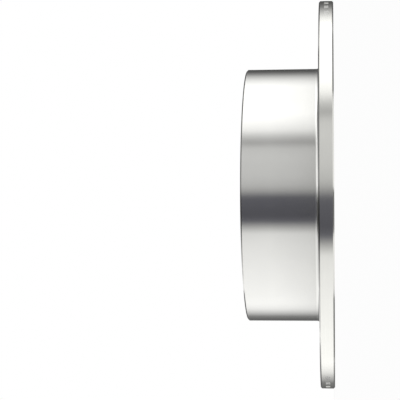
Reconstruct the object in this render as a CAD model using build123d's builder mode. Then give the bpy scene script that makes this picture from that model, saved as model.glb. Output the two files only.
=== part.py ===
from build123d import *
import os

# Blind flange in collar form, DN 50 (NPS 2) size, welded up from turned stainless pieces.
# A plain blank plate closes the line. A short ring of pipe stands in a register groove on
# the plate's back and centres the loose backing flange that clamps the plate. The foot of
# the ring is bevelled on both sides for welding. The outer weld is dressed to a small
# hollow fillet, the inner one is left as a bead. The gasket face underneath carries
# concentric serrations.
#
# Frame: the part lies on its gasket face. Origin in the middle of that face, +Z along the
# axis towards the hub's open end. Millimetres.

# ---------------------------------------------------------------- driving dimensions
plate_diameter = 92.1        # outside of the collar plate
plate_thickness = 3.3
rim_edge_break = 0.3         # 45 degree break on both edges of the rim

hub_diameter = 60.3          # outside of the pipe ring
hub_wall = 2.77
hub_projection = 17.2        # how far the hub stands above the plate's back
hub_edge_break = 0.3         # outer edge of the hub's open end
hub_bore_chamfer = 0.6       # inner edge of the hub's open end

register_depth = 0.6         # groove in the plate's back that takes the hub's foot
register_clearance = 0.1     # the groove's floor is wider than the hub's wall by this, each side
root_land = 0.9              # flat foot between the two weld bevels, standing on the floor
outer_prep = 0.7             # radial depth of the outer weld bevel

outer_weld_leg = 0.8         # from the corner to each toe of the dressed weld
outer_weld_hollow = 0.12     # how deep the dressed face is hollowed below its chord
inner_weld_leg = 2.0         # from the corner to each toe of the bead
inner_weld_crown = 0.2       # how far the bead stands proud of its chord

gasket_margin = 2.0          # plain land between the outermost serration and the rim
gasket_band = 12.0           # radial width that the serrations cover
serration_pitch = 1.0
serration_depth = 0.12

# ---------------------------------------------------------------- derived places
plate_radius = plate_diameter / 2
hub_radius = hub_diameter / 2
bore_radius = hub_radius - hub_wall
register_floor = plate_thickness - register_depth
hub_end = plate_thickness + hub_projection
land_outer_radius = hub_radius - outer_prep
land_inner_radius = land_outer_radius - root_land
outer_toe_z = plate_thickness + outer_weld_leg
inner_toe_z = plate_thickness + inner_weld_leg
groove_outer_radius = hub_radius + register_clearance
groove_inner_radius = bore_radius - register_clearance
serration_count = round(gasket_band / serration_pitch)
first_serration = plate_radius - gasket_margin - serration_pitch / 2

# ---------------------------------------------------------------- blind plate
with BuildPart() as blind_plate:
    with BuildSketch(Plane.XY):
        Circle(plate_radius)
    extrude(amount=plate_thickness)
    # both edges of the rim are broken so that the plate can be handled
    chamfer(blind_plate.edges().filter_by(GeomType.CIRCLE), length=rim_edge_break)

    # register groove, its outer side sloped out to the toe of the outer weld
    with BuildSketch(Plane.XZ):
        with BuildLine():
            Polyline(
                (groove_inner_radius, plate_thickness),
                (groove_inner_radius, register_floor),
                (groove_outer_radius, register_floor),
                (hub_radius + outer_weld_leg, plate_thickness),
                close=True,
            )
        make_face()
    revolve(axis=Axis.Z, mode=Mode.SUBTRACT)

    # serrated gasket finish: V grooves side by side, cut upwards from the face
    with BuildSketch(Plane.XZ):
        with Locations([(first_serration - i * serration_pitch, 0) for i in range(serration_count)]):
            Polygon((-serration_pitch / 2, 0), (serration_pitch / 2, 0), (0, serration_depth), align=None)
    revolve(axis=Axis.Z, mode=Mode.SUBTRACT)

# ---------------------------------------------------------------- hub ring
with BuildPart() as hub_ring:
    with BuildSketch(Plane.XZ):
        with BuildLine():
            Polyline(
                (land_inner_radius, register_floor),
                (land_outer_radius, register_floor),
                (hub_radius, outer_toe_z),
                (hub_radius, hub_end),
                (bore_radius, hub_end),
                (bore_radius, inner_toe_z),
                close=True,
            )
        make_face()
    revolve(axis=Axis.Z)
    end_edges = hub_ring.edges().filter_by(GeomType.CIRCLE).group_by(Axis.Z)[-1].sort_by(SortBy.RADIUS)
    chamfer(end_edges[0], length=hub_bore_chamfer)
    chamfer(end_edges[-1], length=hub_edge_break)

# ---------------------------------------------------------------- outer weld
# Fills the outer bevel and the groove's sloped side, face to face with both.
with BuildPart() as outer_weld:
    with BuildSketch(Plane.XZ):
        with BuildLine():
            Polyline(
                (hub_radius, outer_toe_z),
                (land_outer_radius, register_floor),
                (groove_outer_radius, register_floor),
                (hub_radius + outer_weld_leg, plate_thickness),
            )
            SagittaArc(
                (hub_radius + outer_weld_leg, plate_thickness),
                (hub_radius, outer_toe_z),
                outer_weld_hollow,
            )
        make_face()
    revolve(axis=Axis.Z)

# ---------------------------------------------------------------- inner weld
# Fills the inner bevel and the rest of the groove, and crowns into the open hub.
with BuildPart() as inner_weld:
    with BuildSketch(Plane.XZ):
        with BuildLine():
            Polyline(
                (bore_radius - inner_weld_leg, plate_thickness),
                (groove_inner_radius, plate_thickness),
                (groove_inner_radius, register_floor),
                (land_inner_radius, register_floor),
                (bore_radius, inner_toe_z),
            )
            SagittaArc(
                (bore_radius, inner_toe_z),
                (bore_radius - inner_weld_leg, plate_thickness),
                -inner_weld_crown,
            )
        make_face()
    revolve(axis=Axis.Z)

# ---------------------------------------------------------------- labels and files
blind_plate.part.label = "blind_plate"
hub_ring.part.label = "hub_ring"
outer_weld.part.label = "outer_weld"
inner_weld.part.label = "inner_weld"

os.makedirs("parts", exist_ok=True)
export_step(blind_plate.part, "parts/blind_plate.step")
export_step(hub_ring.part, "parts/hub_ring.step")
export_step(outer_weld.part, "parts/outer_weld.step")
export_step(inner_weld.part, "parts/inner_weld.step")

print("overall diameter", plate_diameter, "height", round(hub_end, 3))
print("bore radius", round(bore_radius, 3), "serrations", serration_count)
print("free wall outside", round(hub_end - hub_edge_break - outer_toe_z, 3))
print("free wall inside", round(hub_end - hub_bore_chamfer - inner_toe_z, 3))
for piece in (blind_plate, hub_ring, outer_weld, inner_weld):
    print(piece.part.label, "volume", round(piece.part.volume, 2), "valid", piece.part.is_valid)
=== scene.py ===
# %% [markdown]
# # A turned steel blind flange
#
# A blind flange in collar form is a thin steel disc with a short ring of pipe on its back.
# Everything on it is turned on a lathe, so every piece here is made the way a lathe makes it:
# rings around one axis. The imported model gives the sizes, and this script gives the looks.

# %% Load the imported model
import math

import bpy
from mathutils import Matrix, Vector


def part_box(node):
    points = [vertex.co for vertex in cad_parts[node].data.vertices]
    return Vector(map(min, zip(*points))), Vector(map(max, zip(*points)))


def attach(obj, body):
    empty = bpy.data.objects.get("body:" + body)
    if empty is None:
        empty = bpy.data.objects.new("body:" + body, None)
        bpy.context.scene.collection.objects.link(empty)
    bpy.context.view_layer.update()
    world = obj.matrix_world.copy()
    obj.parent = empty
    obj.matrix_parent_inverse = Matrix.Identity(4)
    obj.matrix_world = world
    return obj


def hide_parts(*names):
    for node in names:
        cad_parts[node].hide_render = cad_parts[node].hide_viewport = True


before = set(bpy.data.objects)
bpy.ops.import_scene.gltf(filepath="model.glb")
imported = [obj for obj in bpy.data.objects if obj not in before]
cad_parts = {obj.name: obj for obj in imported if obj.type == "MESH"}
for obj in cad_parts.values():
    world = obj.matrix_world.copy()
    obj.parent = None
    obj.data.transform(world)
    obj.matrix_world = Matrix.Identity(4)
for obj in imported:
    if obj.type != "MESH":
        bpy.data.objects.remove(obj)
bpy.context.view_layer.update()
plate_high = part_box("blind_plate")[1]
hub_low, hub_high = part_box("hub_ring")
outer_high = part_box("outer_weld")[1]
inner_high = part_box("inner_weld")[1]

MM = 0.001
scene = bpy.context.scene
print("packed pieces:", sorted(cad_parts))
print("plate radius", round(plate_high.x / MM, 2), "thickness", round(plate_high.z / MM, 2))
print("hub radius", round(hub_high.x / MM, 2), "end at", round(hub_high.z / MM, 2))

# %% [markdown]
# ## The camera
#
# A side view of a turned part shows its whole profile: rim, ledge and hub. The camera looks
# along +Y from just above the floor, rolled by a quarter turn so that the part's axis lies
# level. It is aimed a little up the axis, which leaves empty space on the hub's side. A wide
# lens close by would bulge the circles, so a long one is used, which keeps them almost straight.

# %% Place the camera
camera_data = bpy.data.cameras.new("studio_camera")
camera = bpy.data.objects.new("studio_camera", camera_data)
scene.collection.objects.link(camera)
scene.camera = camera

camera_data.sensor_width = 36.0
camera_data.lens = 115.9
camera_data.clip_start = 0.002
camera_data.clip_end = 20.0

camera_distance = 0.311
camera_aside = -1.08 * MM
camera_height = 0.3 * MM
aim_up = math.radians(5.89)
lean = math.radians(-0.29)

look = Vector((0.0, math.cos(aim_up), math.sin(aim_up)))
view_up = Vector((1.0, 0.0, 0.0))
view_right = look.cross(view_up)
turn = Matrix((view_right, view_up, -look)).transposed().to_4x4()
stand = Matrix.Translation((camera_aside, -camera_distance, camera_height))
camera.matrix_world = stand @ turn @ Matrix.Rotation(lean, 4, "Z")
print("camera", camera_distance, "m away, lens", round(camera_data.lens, 1), "mm")

# %% [markdown]
# ## Modelling helpers
#
# Each piece starts as a primitive and is then worked in edit mode. The loaded pieces are left
# selected by the importer, and an operator works on all that is selected, so a helper clears
# the selection first. Faces and edges could be picked by their number, but a number changes
# with every cut. They are picked by where they lie instead, as a machinist would name them:
# the top face, the outer edge, the wall between two heights.

# %% Selection helpers
hair = 0.01 * MM


def only(piece):
    if bpy.context.mode != "OBJECT":
        bpy.ops.object.mode_set(mode="OBJECT")
    bpy.ops.object.select_all(action="DESELECT")
    piece.select_set(True)
    bpy.context.view_layer.objects.active = piece


def clear_selection(mesh):
    for group in (mesh.vertices, mesh.edges, mesh.polygons):
        group.foreach_set("select", [False] * len(group))


def radius_of(place):
    return math.hypot(place.x, place.y)


print("a place counts as on a ring within", hair / MM, "mm")


# %% Pick faces by their centre
def pick_faces(piece, wanted):
    only(piece)
    clear_selection(piece.data)
    count = 0
    for face in piece.data.polygons:
        if wanted(face.center):
            face.select = True
            count += 1
    bpy.ops.object.mode_set(mode="EDIT")
    bpy.ops.mesh.select_mode(type="FACE")
    return count


print("faces are picked by a test on their centre")


# %% Pick the edges of one ring
def pick_ring(piece, radius, height):
    only(piece)
    clear_selection(piece.data)
    on_ring = [
        abs(radius_of(vertex.co) - radius) < hair and abs(vertex.co.z - height) < hair
        for vertex in piece.data.vertices
    ]
    for edge in piece.data.edges:
        if on_ring[edge.vertices[0]] and on_ring[edge.vertices[1]]:
            edge.select = True
    bpy.ops.object.mode_set(mode="EDIT")
    bpy.ops.mesh.select_mode(type="EDGE")


print("edges are picked by the radius and height of their ring")

# %% [markdown]
# ## The studio
#
# Bright metal has no look of its own: it shows what stands around it. So the set matters more
# than the lamps, which alone would leave it black between their highlights. It is a pale floor,
# a white surround, and a drum of soft panels. The drum is bright to the left and right, grey in
# front and dark where the camera and the back of the room are, which is what gives turned steel
# its bands.


# %% Node helpers
def grey(level):
    return (level, level, level, 1)


def compute(tree, operation, first, second=None):
    """A Math node on one or two values, each a socket or a plain number."""
    node = tree.nodes.new("ShaderNodeMath")
    node.operation = operation
    for value, socket in zip((first, second), node.inputs):
        if isinstance(value, float):
            socket.default_value = value
        elif value is not None:
            tree.links.new(value, socket)
    return node.outputs[0]


def mixed(tree, share, first, second):
    """The first shader, with a share of the second one over it."""
    mix = tree.nodes.new("ShaderNodeMixShader")
    tree.links.new(share, mix.inputs["Fac"])
    tree.links.new(first.outputs[0], mix.inputs[1])
    tree.links.new(second.outputs[0], mix.inputs[2])
    return mix.outputs[0]


print("greys run from", grey(0.0), "to", grey(1.0))

# %% A white surround
room_level = 0.62

scene.view_settings.view_transform = "Standard"
world = bpy.data.worlds.new("white_surround")
scene.world = world
world.use_nodes = True
tree = world.node_tree
tree.nodes.clear()
path = tree.nodes.new("ShaderNodeLightPath")
seen = compute(tree, "MAXIMUM", path.outputs["Is Camera Ray"], path.outputs["Is Glossy Ray"])
seen = compute(tree, "MAXIMUM", seen, path.outputs["Is Transmission Ray"])
room = tree.nodes.new("ShaderNodeBackground")
room.inputs["Color"].default_value = grey(1.0)
room.inputs["Strength"].default_value = room_level
white = tree.nodes.new("ShaderNodeBackground")
white.inputs["Color"].default_value = grey(1.0)
white.inputs["Strength"].default_value = 1.0
world_out = tree.nodes.new("ShaderNodeOutputWorld")
tree.links.new(mixed(tree, seen, room, white), world_out.inputs["Surface"])
print("surround: white to the camera and to the metal,", room_level, "as light")

# %% [markdown]
# ### Floor
#
# The floor is matt and nearly white. Part of its colour glows for the camera, so that it meets
# the white surround without a line, and the rest is lit, so that the flange keeps its shadow.
# A brighter lamp would whiten it too, but the shadow would turn too dark.


# %% Start a material
def blank_material(name):
    """A material that holds nothing but its output."""
    material = bpy.data.materials.new(name)
    material.use_nodes = True
    tree = material.node_tree
    tree.nodes.clear()
    out = tree.nodes.new("ShaderNodeOutputMaterial")
    return material, tree, out.inputs["Surface"]


def glowing(tree, strength=1.0):
    """A white glow, whose colour can be linked to a pattern."""
    glow = tree.nodes.new("ShaderNodeEmission")
    glow.inputs["Color"].default_value = grey(1.0)
    glow.inputs["Strength"].default_value = strength
    return glow


print("the studio's materials start blank")

# %% Lay the floor
floor_size = 6.0
floor_glow = 0.75

floor_paint, tree, surface = blank_material("pale_floor")
matt = tree.nodes.new("ShaderNodeBsdfDiffuse")
matt.inputs["Color"].default_value = grey(0.95)
path = tree.nodes.new("ShaderNodeLightPath")
share = compute(tree, "MULTIPLY", path.outputs["Is Camera Ray"], floor_glow)
tree.links.new(mixed(tree, share, matt, glowing(tree)), surface)

bpy.ops.object.select_all(action="DESELECT")
bpy.ops.mesh.primitive_plane_add(size=floor_size, location=(0, 0, 0))
floor = bpy.context.active_object
floor.name = "floor"
floor.data.materials.append(floor_paint)
floor.visible_glossy = False
print("floor", [round(d, 1) for d in floor.dimensions], "m")

# %% [markdown]
# ### Panels
#
# One drum stands for all the panels of a light tent. A radial gradient turns the bearing of
# each point of its wall into a place on a colour ramp, so a panel is two stops of the ramp and
# its soft edge is the distance to the next. A ring of flat panels would do the same, but a
# ramp has no gaps, and one of its stops is easily moved by a degree.

# %% Choose the panels
# Bearing from the camera's side in degrees, positive towards +X, then the brightness there.
panels = [
    (-180, 0.10), (-154, 0.15), (-143, 0.27), (-133, 0.72),    # back of the room
    (-124, 1.12), (-114, 1.29), (-92, 1.22), (-72, 1.14),      # soft box on the left
    (-46, 1.02), (-34, 0.92),                                  # white reflector beside it
    (-28, 0.50), (-23, 0.14), (-18, 0.10), (-2, 0.13),         # camera and its dark hood
    (4, 0.46), (8, 0.59), (16, 0.68), (33, 0.74), (41, 0.71),  # grey card
    (47, 0.46), (52.5, 0.70), (59, 1.16), (66, 1.36),          # gap, and a soft edge after it
    (76, 1.55), (114, 1.50), (123, 1.20),                      # soft box on the right
    (132, 0.78), (141, 0.34), (149, 0.14), (157, 0.09), (180, 0.10),
]
brightest = 1.6
hood = (-26, 2)
hood_blue = 1.16
print(len(panels), "stops around the drum")


# %% A ramp of colours
def colour_ramp(tree, value, stops):
    """A ramp on a value, by its stops in order, each a place from 0 to 1 and a colour."""
    node = tree.nodes.new("ShaderNodeValToRGB")
    tree.links.new(value, node.inputs["Fac"])
    elements = node.color_ramp.elements
    elements[0].position, elements[0].color = stops[0]
    elements[1].position, elements[1].color = stops[-1]
    for place, colour in stops[1:-1]:
        elements.new(place).color = colour
    return node.outputs["Color"]


def panel_colour(bearing, brightness):
    """A panel's colour as a share of the brightest. The hood is a little blue."""
    level = brightness / brightest
    blue = hood_blue if hood[0] < bearing < hood[1] else 1.0
    return (level, level, level * blue, 1)


print("the hood's middle is", tuple(round(v, 3) for v in panel_colour(-18, 0.10)))

# %% Paint the panels
panel_light, tree, surface = blank_material("panel_light")
place = tree.nodes.new("ShaderNodeTexCoord").outputs["Object"]
turned = tree.nodes.new("ShaderNodeMapping")
turned.inputs["Rotation"].default_value = (0, 0, math.radians(90))
tree.links.new(place, turned.inputs["Vector"])
around = tree.nodes.new("ShaderNodeTexGradient")
around.gradient_type = "RADIAL"
tree.links.new(turned.outputs[0], around.inputs["Vector"])
stops = [((bearing + 180) / 360, panel_colour(bearing, level)) for bearing, level in panels]
panel_glow = glowing(tree, brightest)
tree.links.new(colour_ramp(tree, around.outputs["Fac"], stops), panel_glow.inputs["Color"])
tree.links.new(panel_glow.outputs[0], surface)
print("panels painted with", len(tree.nodes), "nodes")

# %% [markdown]
# ### Ceiling
#
# The ceiling is bright over the front and over the left, and nearly dark over the back right.
# A hollow corner sees the front of it and gets a bright line, and a broken edge sees the back
# of it and gets a dark one. The camera's hood goes on across the ceiling as a dark fan, whose
# point lies behind the part. Both are worked out from X and Y, because a plain dark lid would
# draw the dark lines but not the bright one.


# %% Measure on a piece
def axes_of(tree, place):
    """The X, Y and Z of a place, as sockets."""
    split = tree.nodes.new("ShaderNodeSeparateXYZ")
    tree.links.new(place, split.inputs[0])
    return split.outputs


def between(tree, value, low, high, start=0.3, end=0.7):
    """A value that runs from start to end, stretched to run from low to high."""
    span = tree.nodes.new("ShaderNodeMapRange")
    span.inputs["From Min"].default_value = start
    span.inputs["From Max"].default_value = end
    span.inputs["To Min"].default_value = low
    span.inputs["To Max"].default_value = high
    tree.links.new(value, span.inputs["Value"])
    return span.outputs["Result"]


print("patterns are measured in metres along the piece's own axes")

# %% Paint the ceiling
fan_point = 0.6
fan_folds = ((-0.55, 0.68), (-0.42, 0.08), (-0.03, 0.08), (0.10, 1.0))
left_part = 0.28
soft_edge = 0.3

ceiling_light, tree, surface = blank_material("ceiling_light")
axes = axes_of(tree, tree.nodes.new("ShaderNodeTexCoord").outputs["Object"])
slope = compute(tree, "DIVIDE", axes["X"], compute(tree, "SUBTRACT", fan_point, axes["Y"]))
fan = between(tree, slope, 0.0, 1.0, -1.0, 1.0)
stops = [((fold + 1) / 2, grey(brightness)) for fold, brightness in fan_folds]
corner = compute(tree, "MINIMUM", axes["Y"], compute(tree, "ADD", axes["X"], left_part))
ceiling_glow = glowing(tree)
tree.links.new(colour_ramp(tree, fan, stops), ceiling_glow.inputs["Color"])
tree.links.new(between(tree, corner, 1.4, 0.3, -soft_edge, 0.0), ceiling_glow.inputs["Strength"])
tree.links.new(ceiling_glow.outputs[0], surface)
print("ceiling painted with", len(tree.nodes), "nodes")

# %% [markdown]
# ### The drum and its underside
#
# The drum is a cylinder with the panels on its wall and the ceiling on its lid. Below, it ends
# in a dark ring around a hole that lets the white surround in, and the rim's lower edge mirrors
# both. A strip of the same dark card carries the camera's hood on below. Lamps could stand for
# the panels, but they would light the floor too. Only reflections see the drum and the strip,
# so they add nothing to the floor and throw no shadow.

# %% Mix the dark card
card_level = 0.2

dark_card, tree, surface = blank_material("dark_card")
card_glow = glowing(tree)
card_glow.inputs["Color"].default_value = grey(card_level)
tree.links.new(card_glow.outputs[0], surface)
print("dark card at", card_level)


# %% Set up the drum
def show_in_metal_only(piece):
    piece.visible_camera = False
    piece.visible_diffuse = False
    piece.visible_shadow = False


drum_radius = 1.2
drum_top = 1.0
drum_bottom = -0.75
ring_width = 0.73

bpy.ops.object.select_all(action="DESELECT")
bpy.ops.mesh.primitive_cylinder_add(
    vertices=128, radius=drum_radius, depth=drum_top - drum_bottom,
    end_fill_type="NGON", location=(0, 0, (drum_top + drum_bottom) / 2),
)
drum = bpy.context.active_object
drum.name = "panel_drum"
bpy.ops.object.transform_apply(location=True)
for paint in (panel_light, ceiling_light, dark_card):
    drum.data.materials.append(paint)
for face in drum.data.polygons:
    if abs(face.normal.z) > 0.5:
        face.material_index = 1 if face.normal.z > 0 else 2
pick_faces(drum, lambda centre: centre.z < drum_bottom + hair)
bpy.ops.mesh.inset(thickness=ring_width, depth=0)
bpy.ops.mesh.delete(type="FACE")
bpy.ops.object.mode_set(mode="OBJECT")
show_in_metal_only(drum)
print("drum:", len(drum.data.polygons), "faces, with a ceiling above and a dark ring below")

# %% Carry the hood's dark strip on below
strip_width = 0.18
strip_length = 1.05
strip_place = (-0.067, -0.225, drum_bottom + 0.015)

bpy.ops.object.select_all(action="DESELECT")
bpy.ops.mesh.primitive_plane_add(size=1.0, location=strip_place)
hood_foot = bpy.context.active_object
hood_foot.name = "hood_foot"
hood_foot.scale = (strip_width, strip_length, 1.0)
bpy.ops.object.transform_apply(location=True, scale=True)
hood_foot.data.materials.append(dark_card)
show_in_metal_only(hood_foot)
print("dark strip below:", [round(d, 2) for d in hood_foot.dimensions], "m")

# %% [markdown]
# ### Overhead lamp
#
# The drum lights nothing, so one wide lamp draws the soft shadow on the floor, and the metal
# doesn't see it. A small lamp would do too, but its shadow would have a hard edge.

# %% Hang the overhead lamp
bpy.ops.object.select_all(action="DESELECT")
bpy.ops.object.light_add(type="AREA", location=(-0.3, -0.3, 1.1))
overhead = bpy.context.active_object
overhead.name = "overhead_lamp"
overhead.data.shape = "DISK"
overhead.data.size = 1.0
overhead.data.energy = 5.5
overhead.rotation_euler = (-overhead.location).to_track_quat("-Z", "Y").to_euler()
overhead.visible_camera = False
overhead.visible_glossy = False
print("overhead lamp of", overhead.data.energy, "W")

# %% [markdown]
# ## The blank plate
#
# On the real part this is one disc of plate, faced and turned: a rim with broken edges, a
# groove in the back that takes the hub's foot, and a serrated face underneath that bites into
# the gasket. A spun profile would do, but insets on the two end faces follow the order of the
# cuts on a lathe and keep every ring exactly concentric.

# %% Turn the blank
plate_radius = plate_high.x
plate_thickness = plate_high.z
plate_steps = 1080

bpy.ops.object.select_all(action="DESELECT")
bpy.ops.mesh.primitive_cylinder_add(
    vertices=plate_steps, radius=plate_radius, depth=plate_thickness,
    end_fill_type="NGON", location=(0, 0, plate_thickness / 2),
)
plate = bpy.context.active_object
plate.name = "collar_plate"
bpy.ops.object.transform_apply(location=True)
print("blank:", len(plate.data.polygons), "faces")

# %% Cut the register groove into the back
clearance = 0.1 * MM
inner_prep = 1.17 * MM
hub_radius = hub_high.x
bore_radius = inner_high.x - inner_prep
weld_toe = outer_high.x
groove_outer = hub_radius + clearance
groove_inner = bore_radius - clearance
groove_depth = plate_thickness - hub_low.z


def is_end_face(centre, height):
    return abs(centre.z - height) < hair and radius_of(centre) < 1 * MM


pick_faces(plate, lambda centre: is_end_face(centre, plate_thickness))
bpy.ops.mesh.inset(thickness=plate_radius - weld_toe, depth=0)
bpy.ops.mesh.inset(thickness=weld_toe - groove_outer, depth=-groove_depth)
bpy.ops.mesh.inset(thickness=groove_outer - groove_inner, depth=0)
bpy.ops.mesh.extrude_region_move(TRANSFORM_OT_translate={"value": (0, 0, groove_depth)})
bpy.ops.object.mode_set(mode="OBJECT")
print("groove from", round(groove_inner / MM, 2), "to", round(groove_outer / MM, 2), "mm")

# %% Serrate the gasket face
gasket_margin = 2.0 * MM
serration_pitch = 1.0 * MM
serration_depth = 0.12 * MM
serrations = 12

pick_faces(plate, lambda centre: is_end_face(centre, 0.0))
bpy.ops.mesh.inset(thickness=gasket_margin, depth=0)
for cut in range(serrations):
    bpy.ops.mesh.inset(thickness=serration_pitch / 2, depth=-serration_depth)
    bpy.ops.mesh.inset(thickness=serration_pitch / 2, depth=serration_depth)
bpy.ops.object.mode_set(mode="OBJECT")
print("cut", serrations, "serrations,", len(plate.data.polygons), "faces")

# %% Break the rim's edges
edge_break = 0.3 * MM
for height in (0.0, plate_thickness):
    pick_ring(plate, plate_radius, height)
    bpy.ops.mesh.bevel(offset=edge_break, segments=1, affect="EDGES")
bpy.ops.object.mode_set(mode="OBJECT")
print("rim edges broken:", len(plate.data.polygons), "faces")

# %% [markdown]
# ### Marks on the rim
#
# Such rims carry a few fine marks. Here they are plain graduations in groups of short strokes,
# etched a few hundredths deep on two sides of the rim. Each could be cut by a shape of its own,
# but the rim already has a column of faces for every third of a degree. So its wall is cut into
# three bands, and then the middle band's chosen columns are inset and sunk in one go.

# %% Cut the rim's wall into bands
mark_low = 1.1 * MM
mark_high = 2.1 * MM


def on_wall(centre):
    return radius_of(centre) > plate_radius - hair


for height in (mark_low, mark_high):
    pick_faces(plate, on_wall)
    bpy.ops.mesh.bisect(plane_co=(0, 0, height), plane_no=(0, 0, 1))
bpy.ops.object.mode_set(mode="OBJECT")
print("marks lie between", round(mark_low / MM, 1), "and", round(mark_high / MM, 1), "mm")

# %% Sink the strokes
# Bearings are in degrees from the X axis. Leads and places in a group count columns of faces.
mark_start = 13
mark_end = 29
group_columns = 16
stroke_columns = (0, 1, 3, 4, 6, 7)
lead_right = 7
lead_left = 4
stroke_gap = 0.03 * MM
stroke_depth = 0.05 * MM


def on_a_stroke(centre):
    if not on_wall(centre) or not mark_low < centre.z < mark_high:
        return False
    bearing = math.degrees(math.atan2(centre.y, abs(centre.x)))
    if not mark_start < abs(bearing) < mark_end:
        return False
    lead = lead_right if centre.x > 0 else lead_left
    return math.floor(bearing / 360 * plate_steps + lead) % group_columns in stroke_columns


strokes = pick_faces(plate, on_a_stroke)
bpy.ops.mesh.inset(thickness=stroke_gap, depth=-stroke_depth)
bpy.ops.object.mode_set(mode="OBJECT")
stroke_faces = {face.index for face in plate.data.polygons if face.select}
print("strokes:", strokes // 2, "with", len(stroke_faces), "floor faces")


# %% Smooth the plate
def smooth(piece, sharpest):
    """Shade a piece smooth, apart from edges that turn by more than this many degrees."""
    only(piece)
    bpy.ops.object.shade_smooth_by_angle(angle=math.radians(sharpest))


smooth(plate, 25)
print("plate:", len(plate.data.vertices), "points")

# %% [markdown]
# ## Turned rings
#
# The hub and both welds are rings with a section of their own. A flat section could be spun
# around the axis. Here a circle is put at the first corner of the section and extruded from
# corner to corner, growing or shrinking on the way, until the last loop can be bridged to the
# first. It is the same as walking a lathe tool around the section, and it leaves no seam.


# %% A helper that turns a ring
def turn_ring(name, corners, steps):
    bpy.ops.object.select_all(action="DESELECT")
    radius, height = corners[0]
    bpy.ops.mesh.primitive_circle_add(
        vertices=steps, radius=radius, fill_type="NOTHING", location=(0, 0, height),
    )
    ring = bpy.context.active_object
    ring.name = name
    bpy.ops.object.transform_apply(location=True)
    bpy.ops.object.mode_set(mode="EDIT")
    bpy.ops.mesh.select_mode(type="EDGE")
    bpy.ops.mesh.select_all(action="SELECT")
    for next_radius, next_height in corners[1:]:
        rise = (0, 0, next_height - height)
        bpy.ops.mesh.extrude_edges_move(TRANSFORM_OT_translate={"value": rise})
        grow = next_radius / radius
        bpy.ops.transform.resize(value=(grow, grow, 1), center_override=(0, 0, 0))
        radius, height = next_radius, next_height
    bpy.ops.mesh.select_all(action="DESELECT")
    bpy.ops.mesh.select_non_manifold()
    bpy.ops.mesh.bridge_edge_loops()
    bpy.ops.mesh.select_all(action="SELECT")
    bpy.ops.mesh.normals_make_consistent(inside=False)
    bpy.ops.object.mode_set(mode="OBJECT")
    return ring


ring_steps = 720
print("hub and outer weld are turned in", ring_steps, "steps")

# %% [markdown]
# ## The hub
#
# The hub is a slice of pipe. Its foot is bevelled on both sides for welding and stands in the
# groove, and its open end has a broken outer edge and a wider chamfer inside. The foot's bevels
# are corners of the turned section. The end's could be too, but a lathe hand breaks those edges
# last, and so they are bevelled afterwards.

# %% Turn the hub
outer_prep = 0.7 * MM
bore_chamfer = 0.6 * MM
hub_foot = hub_low.z
hub_end = hub_high.z
outer_toe_height = outer_high.z
inner_toe_height = inner_high.z

hub = turn_ring("pipe_hub", [
    (hub_radius - outer_prep, hub_foot),
    (hub_radius, outer_toe_height),
    (hub_radius, hub_end),
    (bore_radius, hub_end),
    (bore_radius, inner_toe_height),
    (inner_high.x, hub_foot),
], ring_steps)
pick_ring(hub, hub_radius, hub_end)
bpy.ops.mesh.bevel(offset=edge_break, segments=1, affect="EDGES")
pick_ring(hub, bore_radius, hub_end)
bpy.ops.mesh.bevel(offset=bore_chamfer, segments=4, profile=0.3, affect="EDGES")
smooth(hub, 25)
print("hub bore", round(bore_radius * 2 / MM, 2), "mm,", len(hub.data.polygons), "faces")

# %% [markdown]
# ## The outer weld
#
# The hub's outer bevel is filled with weld metal, which is then dressed to a small hollow
# radius, because a smooth corner is easy to keep clean. A straight fillet would be simpler, but
# only a hollow one shows a bright and a dark line. The section is the bevel below and a
# shallow arc above, which meets the hub and the plate without a step.


# %% Draw a shallow arc
def shallow_arc(start, end, sag, count):
    across = Vector(end) - Vector(start)
    side = Vector((-across.y, across.x)).normalized()
    shares = [i / count for i in range(count + 1)]
    return [tuple(Vector(start) + across * t + side * (4 * sag * t * (1 - t))) for t in shares]


print("arc of 4:", [tuple(round(v, 2) for v in c) for c in shallow_arc((0, 0), (4, 0), 1, 4)])

# %% Turn the outer weld
weld_hollow = 0.23 * MM
weld_rows = 12

outer_section = [(hub_radius - outer_prep, hub_foot), (groove_outer, hub_foot)]
outer_section += shallow_arc(
    (weld_toe, plate_thickness), (hub_radius, outer_toe_height), weld_hollow, weld_rows,
)
outer_weld = turn_ring("dressed_weld", outer_section, ring_steps)
smooth(outer_weld, 25)
print("dressed weld:", len(outer_weld.data.polygons), "faces")

# %% [markdown]
# ## The inner weld
#
# The weld inside the hub is left as it was laid. Each pulse of the torch freezes as a small
# crescent on top of the one before, so the bead looks like a row of fish scales. A bump in the
# material would show them from above, but not along the bead's outline. So the bead is turned
# smooth and a little crowned first. Then its points are sorted into ten phases around the
# ring, bowed in the middle of the bead, and each phase is pushed out by its own amount.

# %% Turn the bead
bead_leg = 2.0 * MM
bead_crown = 0.2 * MM
bead_rows = 12
ripple_points = 10
ripples = 144

inner_section = [(inner_high.x, hub_foot)]
inner_section += shallow_arc(
    (bore_radius, inner_toe_height), (bore_radius - bead_leg, plate_thickness),
    bead_crown, bead_rows,
)
inner_section += [(groove_inner, plate_thickness), (groove_inner, hub_foot)]
inner_weld = turn_ring("weld_bead", inner_section, ripples * ripple_points)
print("bead:", len(inner_weld.data.polygons), "faces for", ripples, "ripples")

# %% Sort the bead's points into phases
bow = 7
plain_toe = 0.04


def phase_of(place):
    """Which tenth of its ripple a point lies in, or None off the bead's top."""
    share = (inner_toe_height - place.z) / (inner_toe_height - plate_thickness)
    if not plain_toe < share < 1 - plain_toe or radius_of(place) > bore_radius - 2 * hair:
        return None
    bearing = math.degrees(math.atan2(place.y, place.x))
    station = round(bearing / 360 * ripples * ripple_points)
    lead = round(bow * 4 * share * (1 - share))
    return (station + lead) % ripple_points


phases = [phase_of(vertex.co) for vertex in inner_weld.data.vertices]
print(sum(phase is not None for phase in phases), "points lie on the bead's top")

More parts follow.
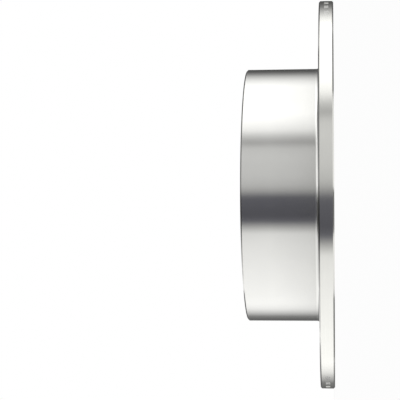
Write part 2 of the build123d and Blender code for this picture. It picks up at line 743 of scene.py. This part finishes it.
# %% Raise the ripples
ripple_shape = (0.0, 0.3, 0.55, 0.75, 0.9, 1.0, 1.0, 0.85, 0.5, 0.15)
ripple_height = 0.07 * MM

for wanted, rise in enumerate(ripple_shape):
    only(inner_weld)
    clear_selection(inner_weld.data)
    inner_weld.data.vertices.foreach_set("select", [phase == wanted for phase in phases])
    bpy.ops.object.mode_set(mode="EDIT")
    bpy.ops.mesh.select_mode(type="VERT")
    bpy.ops.transform.shrink_fatten(value=ripple_height * rise)
smooth(inner_weld, 40)
print("ripples raised by up to", round(ripple_height / MM, 2), "mm")

# %% [markdown]
# ## Steel
#
# Every surface is the same stainless steel. They differ in how they were finished, and some
# carry painted shade.
# A lathe leaves rings too fine to see one by one, which stretch each reflection across them.
# They could all be modelled, but it is enough that turned steel is anisotropic about the axis.
# Under that go fine rings as a bump, and patches where hands and cloths have changed the gloss
# a little. A lathe's pattern runs in rings, so it is painted on a point's radius and height.


# %% Start a steel
def new_steel(name, colour):
    steel = bpy.data.materials.new(name)
    steel.use_nodes = True
    tree = steel.node_tree
    shader = tree.nodes["Principled BSDF"]
    shader.inputs["Base Color"].default_value = (*colour, 1)
    shader.inputs["Metallic"].default_value = 1.0
    place = tree.nodes.new("ShaderNodeTexCoord").outputs["Object"]
    return steel, tree, shader, place


def stretch_along_axis(tree, shader, amount):
    shader.inputs["Anisotropic"].default_value = amount
    shader.inputs["Anisotropic Rotation"].default_value = 0.25
    tangent = tree.nodes.new("ShaderNodeTangent")
    tangent.direction_type = "RADIAL"
    tangent.axis = "Z"
    tree.links.new(tangent.outputs[0], shader.inputs["Tangent"])


print("a steel is a metallic shader, with a colour and a place to paint on")


# %% Patterns on steel
def rings_of(tree, place):
    """A point's radius and height as a vector, so that a pattern on it runs in rings."""
    axes = axes_of(tree, place)
    level = tree.nodes.new("ShaderNodeCombineXYZ")
    tree.links.new(axes["X"], level.inputs["X"])
    tree.links.new(axes["Y"], level.inputs["Y"])
    radius = tree.nodes.new("ShaderNodeVectorMath")
    radius.operation = "LENGTH"
    tree.links.new(level.outputs[0], radius.inputs[0])
    rings = tree.nodes.new("ShaderNodeCombineXYZ")
    tree.links.new(radius.outputs["Value"], rings.inputs["X"])
    tree.links.new(axes["Z"], rings.inputs["Y"])
    return rings.outputs[0]


def noise(tree, place, scale, detail):
    grain = tree.nodes.new("ShaderNodeTexNoise")
    grain.inputs["Scale"].default_value = scale
    grain.inputs["Detail"].default_value = detail
    tree.links.new(place, grain.inputs["Vector"])
    return grain.outputs["Fac"]


print("patterns: rings for the lathe, noise for the rest")


# %% Lay a pattern on the shader
def shade_colour(tree, shader, share):
    """The steel's own colour, darkened by a pattern whose values are near 1."""
    tint = tree.nodes.new("ShaderNodeVectorMath")
    tint.operation = "SCALE"
    tint.inputs[0].default_value = shader.inputs["Base Color"].default_value[:3]
    tree.links.new(share, tint.inputs["Scale"])
    tree.links.new(tint.outputs[0], shader.inputs["Base Color"])


def vary_gloss(tree, shader, pattern, low, high):
    tree.links.new(between(tree, pattern, low, high), shader.inputs["Roughness"])


def raise_bump(tree, shader, pattern, height, strength):
    bump = tree.nodes.new("ShaderNodeBump")
    bump.inputs["Strength"].default_value = strength
    bump.inputs["Distance"].default_value = height
    tree.links.new(pattern, bump.inputs["Height"])
    tree.links.new(bump.outputs[0], shader.inputs["Normal"])


print("a pattern can shade the colour, vary the gloss or raise a bump")

# %% [markdown]
# ### The plate's steel
#
# The plate is faced and turned all over, and its tool marks show as a very fine bump in rings.
# The rim's wall has the same steel, with painted shade over it beside the marks, which stands
# in for darker reflections there. The shade could be a patch with an edge, but it fades out
# along the rim, so it is a ramp on the distance from the X axis, on both sides of which the
# marks lie.


# %% Turned steel
def turned_finish(name, painted_shade=None):
    steel, tree, shader, place = new_steel(name, (0.80, 0.797, 0.760))
    stretch_along_axis(tree, shader, 0.9)
    tool_marks = noise(tree, rings_of(tree, place), 2600, 3)
    vary_gloss(tree, shader, noise(tree, place, 55, 3), 0.15, 0.20)
    haze = between(tree, noise(tree, place, 140, 4), 0.975, 1.01)
    share = compute(tree, "MULTIPLY", haze, between(tree, tool_marks, 0.985, 1.01))
    if painted_shade:
        share = compute(tree, "MULTIPLY", share, painted_shade(tree, place))
    shade_colour(tree, shader, share)
    raise_bump(tree, shader, tool_marks, 0.004 * MM, 0.5)
    print(name, "has", len(tree.nodes), "nodes")
    return steel


turned_steel = turned_finish("turned_steel")

# %% Steel of the marked rim
# Painted shade: beside the marks on both sides, the rim's colour is darkened to as little as
# 0.65 of itself.
painted_shade_reach = 40 * MM
painted_shade_stops = ((13.0, 1.0), (17.5, 0.65), (21.0, 0.72), (24.0, 0.88), (28.0, 1.0))


def painted_rim_shade(tree, place):
    """What the painted shade leaves of the steel's colour. Its stops are distances in mm."""
    aside = compute(tree, "ABSOLUTE", axes_of(tree, place)["Y"])
    stops = [(distance * MM / painted_shade_reach, grey(share)) for distance, share in painted_shade_stops]
    return colour_ramp(tree, between(tree, aside, 0.0, 1.0, 0.0, painted_shade_reach), stops)


# The rim's steel carries the painted shade beside the marks.
rim_steel = turned_finish("rim_steel", painted_rim_shade)

# %% [markdown]
# ### The hub's steel
#
# The hub is pipe, skimmed outside. Its colour carries painted shade, darker towards its foot
# where it meets the plate. Two steels could part there, but the change is gradual, so the
# shade is painted by height. Its bore is not turned but drawn, which leaves faint lines along
# the axis.

# %% Hub steel
hub_steel, tree, shader, place = new_steel("hub_steel", (0.745, 0.743, 0.720))
stretch_along_axis(tree, shader, 0.9)
vary_gloss(tree, shader, noise(tree, place, 60, 3), 0.15, 0.20)
haze = between(tree, noise(tree, place, 120, 4), 0.97, 1.01)
# Painted shade: the colour darkens from a height of 14 mm down to 4.5 mm, towards the plate.
painted_foot_shade = between(tree, axes_of(tree, place)["Z"], 0.88, 1.0, 4.5 * MM, 14 * MM)
shade_colour(tree, shader, compute(tree, "MULTIPLY", haze, painted_foot_shade))
raise_bump(tree, shader, noise(tree, rings_of(tree, place), 2200, 3), 0.004 * MM, 0.5)
print("hub steel:", len(tree.nodes), "nodes")

# %% Bore steel
bore_steel, tree, shader, place = new_steel("bore_steel", (0.66, 0.655, 0.635))
along = tree.nodes.new("ShaderNodeMapping")
along.inputs["Scale"].default_value = (1, 1, 0.03)
tree.links.new(place, along.inputs["Vector"])
die_lines = noise(tree, along.outputs[0], 900, 3)
vary_gloss(tree, shader, die_lines, 0.26, 0.36)
shade_colour(tree, shader, between(tree, die_lines, 0.95, 1.02))
raise_bump(tree, shader, die_lines, 0.006 * MM, 0.6)
print("bore steel:", len(tree.nodes), "nodes")

# %% [markdown]
# ### Broken edges and strokes
#
# An edge broken with a file gets a darker colour than what it parts, as painted shade that draws
# a dark line along it. The strokes on the rim are etched, which leaves them a frosted floor that
# scatters light, and so they look pale where the rim mirrors something dark. White paint would
# look pale everywhere, so the strokes stay steel and are only rough.

# %% Edge steel
# Painted shade: a darker colour than the plate's, for a dark line along the broken edges.
painted_dark_edge, tree, shader, place = new_steel("painted_dark_edge", (0.60, 0.595, 0.58))
shader.inputs["Roughness"].default_value = 0.15
shade_colour(tree, shader, between(tree, noise(tree, place, 900, 3), 0.9, 1.05))
print("edge steel:", len(tree.nodes), "nodes")

# %% Frosted steel of the strokes
frosted_steel, tree, shader, place = new_steel("frosted_steel", (0.90, 0.898, 0.88))
shader.inputs["Roughness"].default_value = 0.55
frost = noise(tree, place, 9000, 2)
# The strokes carry the same painted shade as the rim around them.
share = compute(tree, "MULTIPLY", between(tree, frost, 0.9, 1.05), painted_rim_shade(tree, place))
shade_colour(tree, shader, share)
raise_bump(tree, shader, frost, 0.01 * MM, 0.5)
print("frosted steel:", len(tree.nodes), "nodes")

# %% [markdown]
# ### Weld metal
#
# Weld metal is cast rather than rolled. Dressed, it is satin, with fine grit lines that run
# round with the belt. As laid it is rougher, bright on top, and keeps a trace of straw colour
# along its toes, where the steel was hot but not molten. The bead's height tells where its toes
# are, so a ramp on it does the colour, and no mask has to be painted.

# %% Dressed weld metal
dressed_metal, tree, shader, place = new_steel("dressed_weld_metal", (0.74, 0.738, 0.715))
grit = noise(tree, rings_of(tree, place), 5200, 3)
vary_gloss(tree, shader, noise(tree, place, 350, 2), 0.14, 0.20)
shade_colour(tree, shader, between(tree, grit, 0.96, 1.02))
raise_bump(tree, shader, grit, 0.003 * MM, 0.5)
print("dressed weld metal:", len(tree.nodes), "nodes")

# %% Bead metal
bead_colour = (0.70, 0.69, 0.67)
plate_toe_colour = (0.66, 0.60, 0.50)
hub_toe_colour = (0.66, 0.61, 0.52)
heat = [
    (0.0, (*plate_toe_colour, 1)), (0.2, (*bead_colour, 1)),
    (0.8, (*bead_colour, 1)), (1.0, (*hub_toe_colour, 1)),
]

bead_metal, tree, shader, place = new_steel("bead_metal", bead_colour)
height = axes_of(tree, place)["Z"]
up_the_bead = between(tree, height, 0.0, 1.0, plate_thickness, inner_toe_height)
tree.links.new(colour_ramp(tree, up_the_bead, heat), shader.inputs["Base Color"])
skin = noise(tree, place, 1800, 4)
vary_gloss(tree, shader, skin, 0.22, 0.34)
raise_bump(tree, shader, skin, 0.01 * MM, 0.5)
print("bead metal:", len(tree.nodes), "nodes")

# %% [markdown]
# ## Dress the pieces
#
# A real piece is one lump of steel, with a finish for each of its faces. It could be cut apart
# by finish, but it stays whole: a piece gets its steels as slots, and a face takes the slot
# that its place calls for.


# %% Share out the steels
def give_steels(piece, steels, slot_of):
    piece.data.materials.clear()
    for steel in steels:
        piece.data.materials.append(steel)
    counts = [0] * len(steels)
    for face in piece.data.polygons:
        face.material_index = slot_of(face)
        counts[face.material_index] += 1
    print(piece.name, {steel.name: count for steel, count in zip(steels, counts)})


give_steels(outer_weld, [dressed_metal], lambda face: 0)
give_steels(inner_weld, [bead_metal], lambda face: 0)

# %% Steels of the plate and the hub
surface_depth = 0.004 * MM


def plate_slot(face):
    """Turned steel, with the upper edge break, the strokes and the rim's wall set apart."""
    radius, level = radius_of(face.center), face.center.z
    if face.index in stroke_faces:
        return 2
    if radius > plate_radius - surface_depth:
        return 3
    in_break = radius > plate_radius - edge_break - hair
    return 1 if in_break and level > plate_thickness / 2 else 0


def hub_slot(face):
    """Hub steel, with the bore and the broken edge of the open end set apart."""
    radius, level = radius_of(face.center), face.center.z
    if radius < bore_radius + hair:
        return 1
    in_break = hub_radius - edge_break - hair < radius < hub_radius - surface_depth
    return 2 if in_break and hub_end - edge_break < level < hub_end - surface_depth else 0


give_steels(plate, [turned_steel, painted_dark_edge, frosted_steel, rim_steel], plate_slot)
give_steels(hub, [hub_steel, bore_steel, painted_dark_edge], hub_slot)

# %% Put each piece in its node's place
for piece, node, slot in (
    (plate, "blind_plate", "turned_steel"), (hub, "hub_ring", "hub_steel"),
    (outer_weld, "outer_weld", "dressed_weld"), (inner_weld, "inner_weld", "weld_bead"),
):
    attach(piece, "root")
    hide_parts(node)
print("four pieces ride on the root body")
